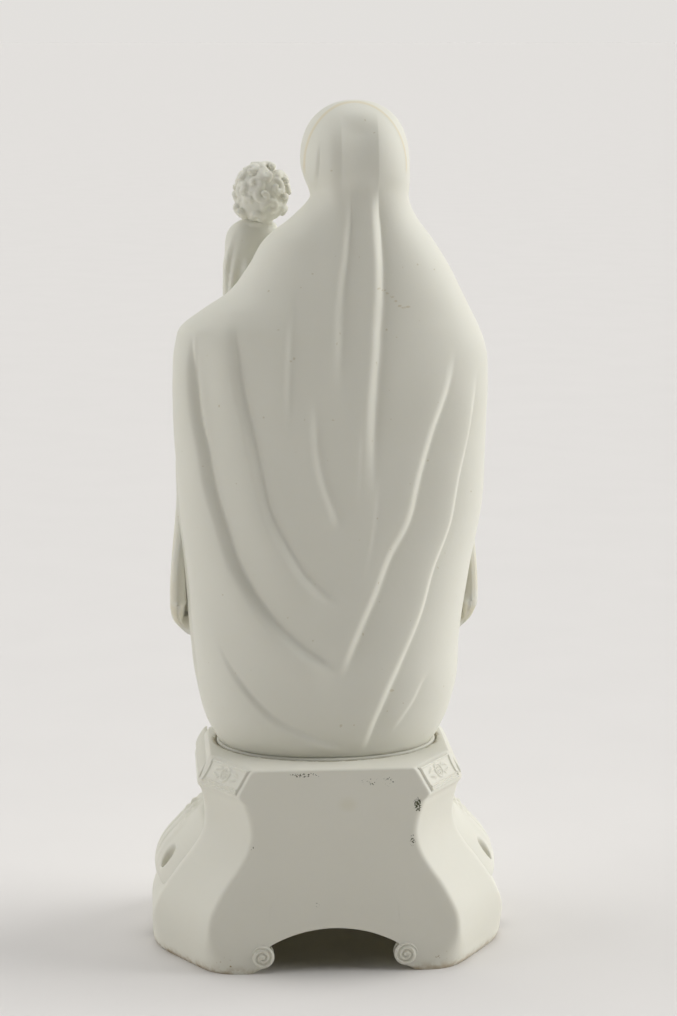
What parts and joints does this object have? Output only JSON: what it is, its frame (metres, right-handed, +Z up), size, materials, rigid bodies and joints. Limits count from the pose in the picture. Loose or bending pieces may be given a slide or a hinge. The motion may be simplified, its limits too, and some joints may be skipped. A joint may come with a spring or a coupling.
{
  "type": "madonna statue",
  "caption": "Hooded mother in a long mantle carrying a curly-haired child on her left arm, in unglazed porcelain, standing loose in the seat of a scrolled, flat-backed hollow plinth.",
  "frame": {"origin": "on the floor under the middle of the plinth", "axes": "+Z up; the statue faces -Y and its plain back is +Y; +X is the mother's left, the side on which the child sits"},
  "size_m": [0.1684, 0.1215, 0.4003],
  "materials": {
    "plinth_bisque": "matt unglazed porcelain, a little stained",
    "figure_bisque": "matt unglazed porcelain"
  },
  "bodies": {
    "plinth": {"plinth_shell": "plinth_bisque", "side_scroll_left": "plinth_bisque", "side_scroll_right": "plinth_bisque", "rosette_rear_left": "plinth_bisque", "rosette_rear_right": "plinth_bisque", "rosette_front_left": "plinth_bisque", "rosette_front_right": "plinth_bisque", "foot_scroll_rear_left": "plinth_bisque", "foot_scroll_rear_right": "plinth_bisque", "foot_scroll_front_left": "plinth_bisque", "foot_scroll_front_right": "plinth_bisque", "front_cartouche": "plinth_bisque", "knee_leaf_left": "plinth_bisque", "knee_leaf_right": "plinth_bisque"},
    "figure": {"statue_slab": "figure_bisque", "robe": "figure_bisque", "mantle": "figure_bisque", "hood": "figure_bisque", "mantle_fall_left": "figure_bisque", "mantle_fall_right": "figure_bisque", "shoe_left": "figure_bisque", "shoe_right": "figure_bisque", "mother_head": "figure_bisque", "sleeve_left": "figure_bisque", "sleeve_right": "figure_bisque", "mother_hand_left": "figure_bisque", "mother_hand_right": "figure_bisque", "child_body": "figure_bisque", "child_head": "figure_bisque", "child_arm_left": "figure_bisque", "child_arm_right": "figure_bisque", "child_leg_left": "figure_bisque", "child_leg_right": "figure_bisque"}
  },
  "joints": [
    {"name": "figure_lift", "type": "slide", "parent": "plinth", "child": "figure", "axis": [0, 0, 1], "range_m": [0, 0.06]}
  ]
}
